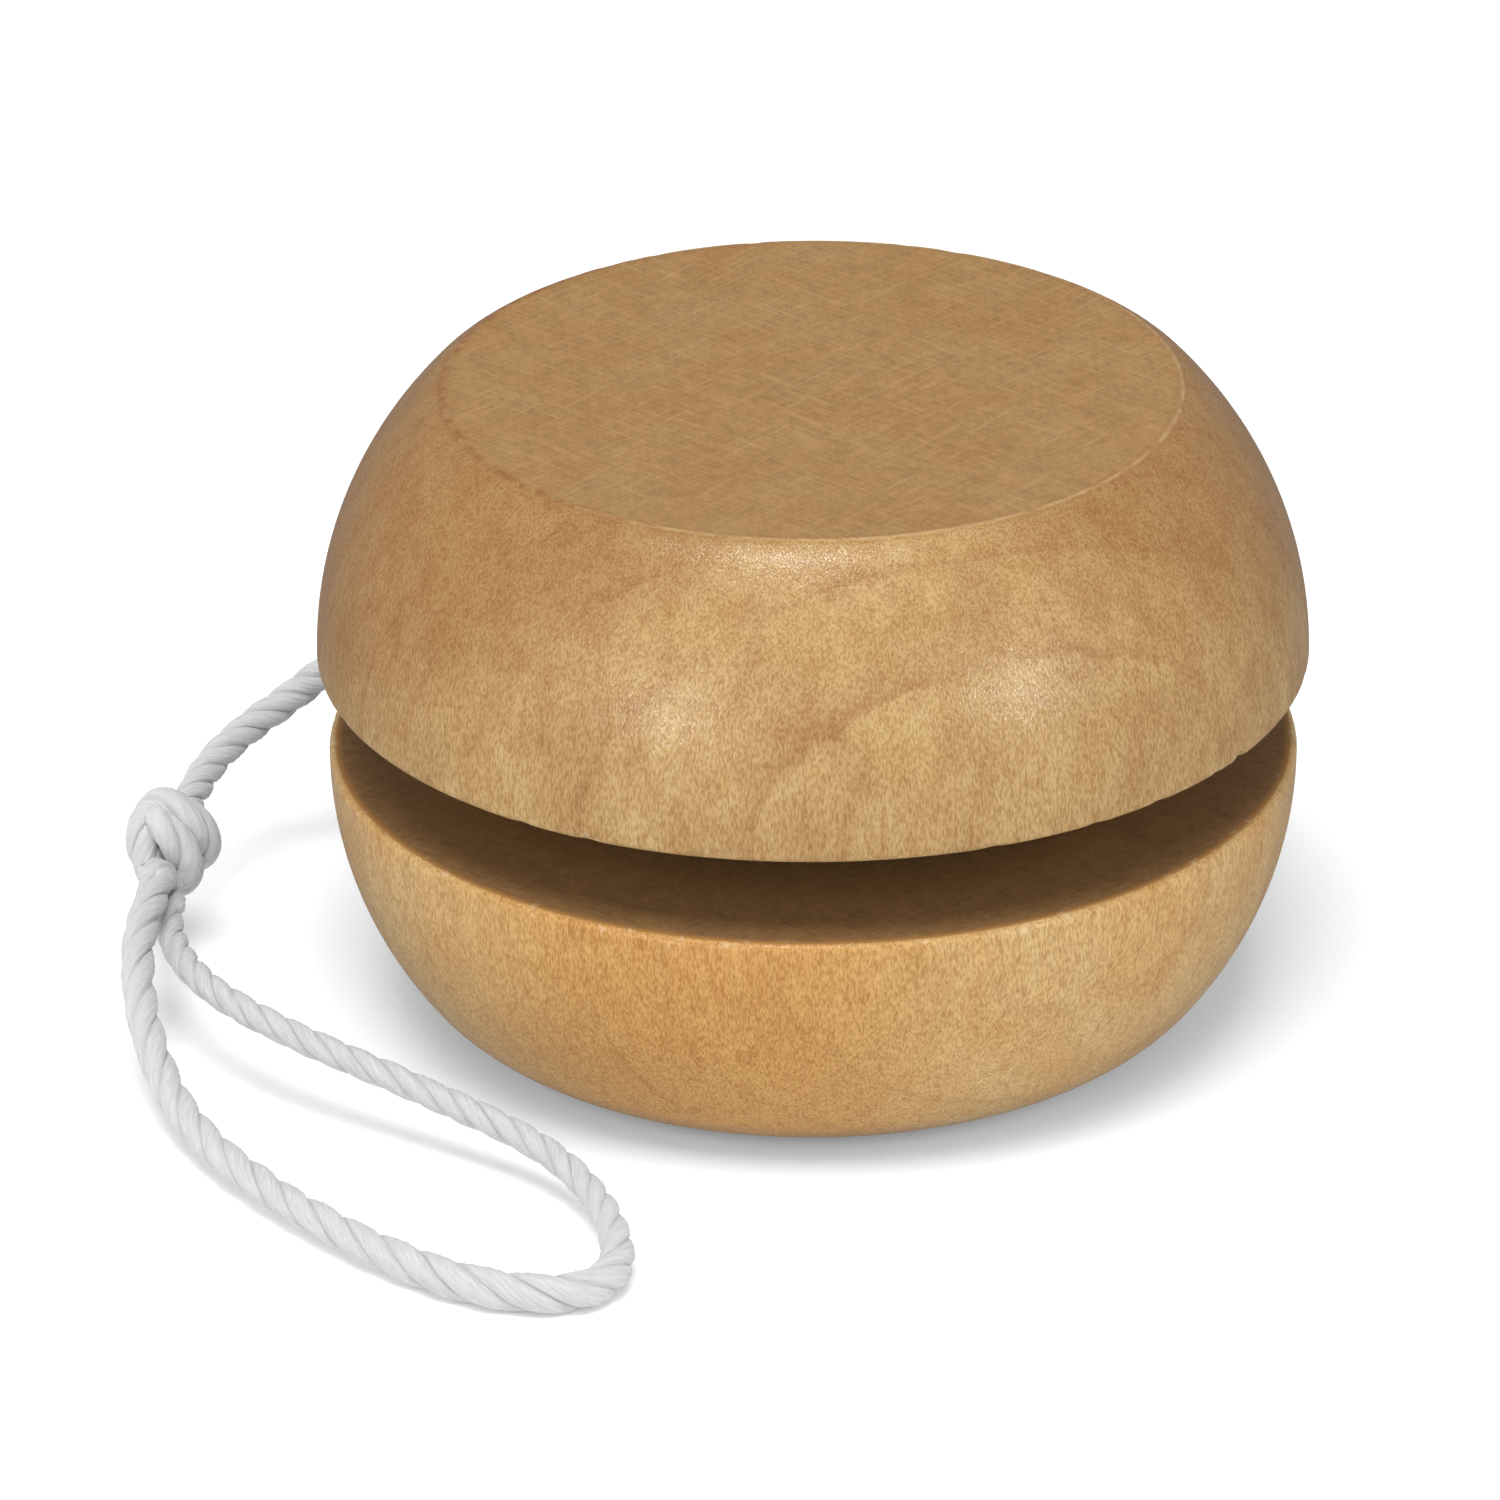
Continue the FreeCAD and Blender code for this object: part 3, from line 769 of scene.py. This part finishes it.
def twisted_mesh(
    name, strand, first, last, around=PLY_SIDES, flatten=1.0, closed_start=False, closed_end=False
):
    """The plies of one stretch of a strand, from sample first to last. Closed ends are rounded off."""
    samples = np.arange(first, last + 1)
    angles = np.linspace(0, 2 * math.pi, around, endpoint=False)
    vertices, faces, creases, uvs = [], [], [], []
    for ply in range(PLIES):
        base = len(vertices)
        for i in samples:
            turn = strand.twist[i] + 2 * math.pi * ply / PLIES
            out = math.cos(turn) * strand.side[i] + math.sin(turn) * strand.lift[i]
            across = math.cos(turn) * strand.lift[i] - math.sin(turn) * strand.side[i]
            radius = strand.radius[i]
            if closed_start:
                radius *= rounding(strand.length[i] - strand.length[first])
            if closed_end:
                radius *= rounding(strand.length[last] - strand.length[i])
            outward, sideways = ply_ring(strand, i, ply, angles, flatten)
            ring = outward[:, None] * out + sideways[:, None] * across
            vertices.extend(strand.centre[i] + radius * ring)
            # how far into the crease between plies a point lies, which the cord's material darkens as
            # painted shade
            creases.extend(np.clip((0.93 - np.hypot(outward, sideways)) / 0.16, 0, 1))
        for row in range(len(samples) - 1):
            low = strand.length[samples[row]] / MM
            high = strand.length[samples[row + 1]] / MM
            for k in range(around):
                here = base + row * around + k
                beside = base + row * around + (k + 1) % around
                faces.append((here, beside, beside + around, here + around))
                left, right = k / around, (k + 1) / around
                uvs.extend([(left, low), (right, low), (right, high), (left, high)])
    piece = new_object(name, vertices, faces, cotton)
    attribute = piece.data.attributes.new("crease", "FLOAT", "POINT")
    attribute.data.foreach_set("value", np.array(creases, np.float32))
    layer = piece.data.uv_layers.new(name="ply")
    layer.data.foreach_set("uv", np.array(uvs, np.float32).ravel())
    return piece


# ================================================================ build: wood

dowel_wood = dowel_material()
cotton = cord_material()

for node, wood, section, seed in (
    ("upper_half", UPPER_WOOD, UPPER_SECTION, 5),
    ("lower_half", LOWER_WOOD, LOWER_SECTION, 9),
):
    material = wood_material("turned_wood_" + node.split("_")[0], wood, section)
    half = turned_half(node + "_turned", material, section, seed)
    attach(half, "wooden_body")
    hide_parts(node)

frame["nodes"]["axle"].data.materials.clear()
frame["nodes"]["axle"].data.materials.append(dowel_wood)

# ================================================================ build: cord stations

mouth = joint_at["tail_lift"]
leave_radius = COIL_RADIUS + CORD_RADIUS
mouth_radius = math.hypot(mouth[0], mouth[1])
leave_angle = math.atan2(mouth[1], mouth[0]) - math.acos(leave_radius / mouth_radius)
leave_point = leave_radius * np.array([math.cos(leave_angle), math.sin(leave_angle), 0])
leave_point[2] = GAP_MIDDLE
gap_point = lerp(leave_point, mouth, 0.52)
gap_point[2] = GAP_MIDDLE
knot_middle = lerp(joint_at["knot_lift"], joint_at["loop_open"], 0.37)
ball_low, ball_high = LAST_LENGTH_BOX
open_pivot = np.array([ball_low.x + CORD_RADIUS, ball_high.y - CORD_RADIUS, ball_low.z + CORD_RADIUS])

TAIL_JOINTS = ["tail_lift", "tail_swing", "tail_curl", "knot_swing", "knot_lift"]
LOOP_JOINTS = ["loop_open"] + [f"loop_bend_{number}" for number in range(2, 12)]
WOUND_LAYERS = 5
MARKS_PER_TURN = 24
CROSSING = 50 / 360  # the share of a turn in which the cord crosses to its next place
# the bodies and ends of this length are listed from its far end
BENT_FROM_FAR_END = "loop_bend_10"


def wound_points():
    """The turns on the axle, two side by side in each layer, then the tangent where the tail leaves."""
    points = []
    layers = np.linspace(AXLE_RADIUS + CORD_RADIUS * 1.05, COIL_RADIUS - CORD_RADIUS, WOUND_LAYERS)
    side = COIL_BOX[1].z - GAP_MIDDLE - CORD_RADIUS * 1.1
    turns = 2 * len(layers)
    last_mark = int((turns - 0.5) * MARKS_PER_TURN)
    for mark in range(last_mark + 1):
        turn = mark / MARKS_PER_TURN
        number = int(turn)
        share = float(smooth(np.array((turn - number - (1 - CROSSING)) / CROSSING)))
        layer, next_layer = number // 2, min((number + 1) // 2, len(layers) - 1)
        radius = lerp(layers[layer], layers[next_layer], share)
        column = (-1, 1, 1, -1)
        height = lerp(column[number % 4], column[(number + 1) % 4], share) * side
        angle = leave_angle + 2 * math.pi * (turn - turns)
        points.append((radius * math.cos(angle), radius * math.sin(angle), GAP_MIDDLE + height))
    return points


wound = wound_points()
wound_length = float(np.sum(np.linalg.norm(np.diff(np.array(wound), axis=0), axis=1)))


def tail_radius(reach):
    """Squeezed in the gap and full where the cord is free."""
    return CORD_RADIUS * lerp(*TAIL_SIZES, smooth((reach - wound_length - FREE_FROM) / FREE_WITHIN))


tail_points = wound + [leave_point, gap_point] + [joint_at[name] for name in TAIL_JOINTS] + [knot_middle]
tail = Strand(Path(tail_points), pitch=lambda reach: np.full_like(reach, TAIL_PITCH), radius=tail_radius)
loop_stations = [knot_middle] + [joint_at[name] for name in LOOP_JOINTS] + [open_pivot, knot_middle]


def eased(stations):
    """Points of a softer line that cuts each corner a little and passes the middle of each length."""
    points = [stations[0]]
    for before, here, after in zip(stations, stations[1:], stations[2:]):
        points.append((before + here) / 2)
        points.append((before + 6 * here + after) / 8)
    return points + [(stations[-2] + stations[-1]) / 2, stations[-1]]


loop_path = Path(eased(loop_stations))
loop_length = loop_path.reach[-1]


def loop_pitch(reach):
    return lerp(OUTER_LEG_PITCH, INNER_LEG_PITCH, smooth((reach / loop_length - 0.45) / 0.15))


def loop_radius(reach):
    """Full in the outer leg, swollen at the tip where the cord turns back, thin in the inner leg."""
    share = reach / loop_length
    thinning = smooth((share - 0.5) / 0.12)
    swelling = TIP_SWELLING * np.exp(-(((share - 0.47) / 0.07) ** 2))
    return CORD_RADIUS * (lerp(*LOOP_SIZES, thinning) + swelling)


loop = Strand(loop_path, loop_pitch, loop_radius)


def nearest(strand, point):
    return int(np.argmin(np.linalg.norm(strand.centre - np.array(point), axis=1)))


def cord_pieces(strand, joints, before_first, after_last):
    """One piece for each joint, from the middle of the length before to the middle of the next."""
    marks = [nearest(strand, joint_at[name]) for name in joints]
    starts = [marks[0] - int(before_first / STEP)]
    for here, there in zip(marks, marks[1:]):
        starts.append((here + there) // 2)
    starts.append(marks[-1] + int(after_last / STEP))
    by_name = {joint["name"]: joint for joint in frame["joints"]}
    for number, name in enumerate(joints):
        low, high = starts[number], starts[number + 1]
        piece = twisted_mesh("cord_" + name, strand, low, high)
        joint = by_name[name]
        bodies = [joint["parent"], joint["child"]]
        ends = [strand.centre[low], strand.centre[high]]
        if name == BENT_FROM_FAR_END:
            bodies.reverse()
            ends.reverse()
        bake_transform(piece)
        if joint["child"] in frame["nodes"] and joint["child"] != "knot":
            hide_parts(joint["child"])
    return starts[0], starts[-1]


tail_first, tail_last = cord_pieces(tail, TAIL_JOINTS, before_first=2.5 * MM, after_last=1.2 * MM)
loop_first, loop_last = cord_pieces(loop, LOOP_JOINTS, before_first=1.5 * MM, after_last=4.0 * MM)

wound_cord = twisted_mesh("wound_cord", tail, 0, tail_first, around=WOUND_PLY_SIDES, closed_start=True)
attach(wound_cord, "wound_string")
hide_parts("axle_loop", "string_coil", "tail_root")

pivot_sample = nearest(loop, open_pivot)
last_length = twisted_mesh("cord_last_length", loop, loop_last, pivot_sample + 6, closed_end=True)
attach(last_length, "loop_11")

# ================================================================ build: knot


def knot_frame(right, up, front):
    """A point of the knot, in millimetres right, up and towards the front, seen from above in front."""
    tilt = CAMERA_ELEVATION
    up_axis = np.array([0, math.sin(tilt), math.cos(tilt)])
    front_axis = np.array([0, -math.cos(tilt), math.sin(tilt)])
    return knot_middle + MM * (right * np.array([1.0, 0, 0]) + up * up_axis + front * front_axis)


def knot_strand(name, points, radius):
    """A strand of even thickness, closed at both ends."""
    strand = Strand(
        Path(points),
        pitch=lambda reach: np.full_like(reach, KNOT_PITCH),
        radius=lambda reach: np.full_like(reach, radius),
    )
    last = len(strand.reach) - 1
    return twisted_mesh(name, strand, 0, last, flatten=1.05, closed_start=True, closed_end=True)


tail_in = [tail.centre[tail_last - 6], tail.centre[tail_last]]
outer_out = [loop.centre[loop_first + 6], loop.centre[loop_first]]
inner_out = [loop.centre[pivot_sample - 4], loop.centre[pivot_sample + 6]]

through = tail_in + [knot_frame(0.5, 1.0, -0.5), knot_frame(0.0, -0.6, -0.7)] + inner_out[::-1]
wrapping = outer_out + [
    knot_frame(-1.3, -1.6, 0.7),
    knot_frame(-1.7, 0.0, 0.7),
    knot_frame(-0.8, 1.75, 0.6),
    knot_frame(0.6, 1.3, 1.1),
    knot_frame(1.6, 0.1, 0.5),
    knot_frame(1.2, -0.9, -0.9),
    knot_frame(0.0, -0.6, -1.7),
    knot_frame(-1.2, 0.3, -1.2),
    knot_frame(-1.1, 1.0, 0.6),
    knot_frame(-0.4, 0.5, 1.5),
    knot_frame(0.5, -0.7, 1.5),
    knot_frame(0.7, -1.9, 1.0),
    knot_frame(-0.3, -2.7, 0.5),
]
for name, points, radius in (("knot_through", through, 0.95), ("knot_wrap", wrapping, 0.98)):
    piece = knot_strand(name, points, radius * CORD_RADIUS)
    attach(piece, "knot")
    if name == "knot_wrap":
        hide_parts("knot")

# ================================================================ stage, light and camera


def make_floor():
    size = 3.0
    corners = [(-size, -size, 0), (size, -size, 0), (size, size, 0), (-size, size, 0)]
    floor = new_object("floor", corners, [(0, 1, 2, 3)], floor_material())
    floor.visible_glossy = False


def softbox(name, azimuth, elevation, away, size, power, glint=True, glow=True):
    """An area light aimed at the middle of the gap.

    Azimuth 0 is in front of the object, at -Y, and azimuth 90 is at +X.
    Without glint it isn't mirrored in the lacquer. Without glow it is only mirrored.
    """
    a, e = math.radians(azimuth), math.radians(elevation)
    way = Vector((math.sin(a) * math.cos(e), -math.cos(a) * math.cos(e), math.sin(e)))
    data = bpy.data.lights.new(name, "AREA")
    data.shape = "RECTANGLE"
    data.size, data.size_y = size
    data.energy = power
    light = bpy.data.objects.new(name, data)
    light.location = Vector((0, 0, GAP_MIDDLE)) + way * away
    light.rotation_mode = "QUATERNION"
    light.rotation_quaternion = (-way).to_track_quat("-Z", "Y")
    light.visible_glossy = glint
    light.visible_diffuse = glow
    bpy.context.scene.collection.objects.link(light)


def make_lights():
    softbox("overhead", azimuth=-12, elevation=69, away=0.8, size=(0.50, 0.40), power=5.6, glint=False)
    softbox("front_fill", azimuth=-4, elevation=30, away=1.0, size=(0.90, 0.40), power=2.4, glint=False)
    softbox("left_fill", azimuth=-75, elevation=20, away=1.0, size=(0.60, 0.50), power=2.2, glint=False)
    softbox("right_fill", azimuth=75, elevation=20, away=1.0, size=(0.60, 0.50), power=2.2, glint=False)
    softbox("shoulder_glint", azimuth=-14, elevation=72, away=0.8, size=(0.17, 0.12), power=3.2, glow=False)
    softbox("left_glint", azimuth=-33, elevation=14, away=0.8, size=(0.10, 0.12), power=1.6, glow=False)
    softbox("right_glint", azimuth=50, elevation=16, away=0.8, size=(0.10, 0.12), power=1.7, glow=False)
    world = bpy.data.worlds.new("studio")
    world.use_nodes = True
    nodes = world.node_tree.nodes
    glossy = nodes.new("ShaderNodeLightPath").outputs["Is Glossy Ray"]
    strength = nodes.new("ShaderNodeMapRange")
    strength.inputs["To Min"].default_value = WORLD_LIGHT
    strength.inputs["To Max"].default_value = WORLD_REFLECTION
    world.node_tree.links.new(glossy, strength.inputs["Value"])
    nodes["Background"].inputs["Color"].default_value = (1.0, 1.0, 1.0, 1)
    world.node_tree.links.new(strength.outputs[0], nodes["Background"].inputs["Strength"])
    bpy.context.scene.world = world


def make_camera():
    """The camera looks down on the object from in front, along +Y."""
    middle = Vector((0, 0, GAP_MIDDLE))
    back = Vector((0, -math.cos(CAMERA_ELEVATION), math.sin(CAMERA_ELEVATION)))
    data = bpy.data.cameras.new("camera")
    data.lens = CAMERA_LENS
    data.sensor_width = CAMERA_SENSOR
    data.clip_start = 0.01
    data.clip_end = 20
    camera = bpy.data.objects.new("camera", data)
    camera.location = middle + back * CAMERA_DISTANCE
    camera.rotation_mode = "QUATERNION"
    look = (middle + CAMERA_AIM - camera.location).to_track_quat("-Z", "Y")
    camera.rotation_quaternion = look @ Quaternion((0, 0, 1), CAMERA_ROLL)
    bpy.context.scene.collection.objects.link(camera)
    bpy.context.scene.camera = camera


make_floor()
make_lights()
make_camera()
bpy.context.scene.view_settings.view_transform = "Standard"
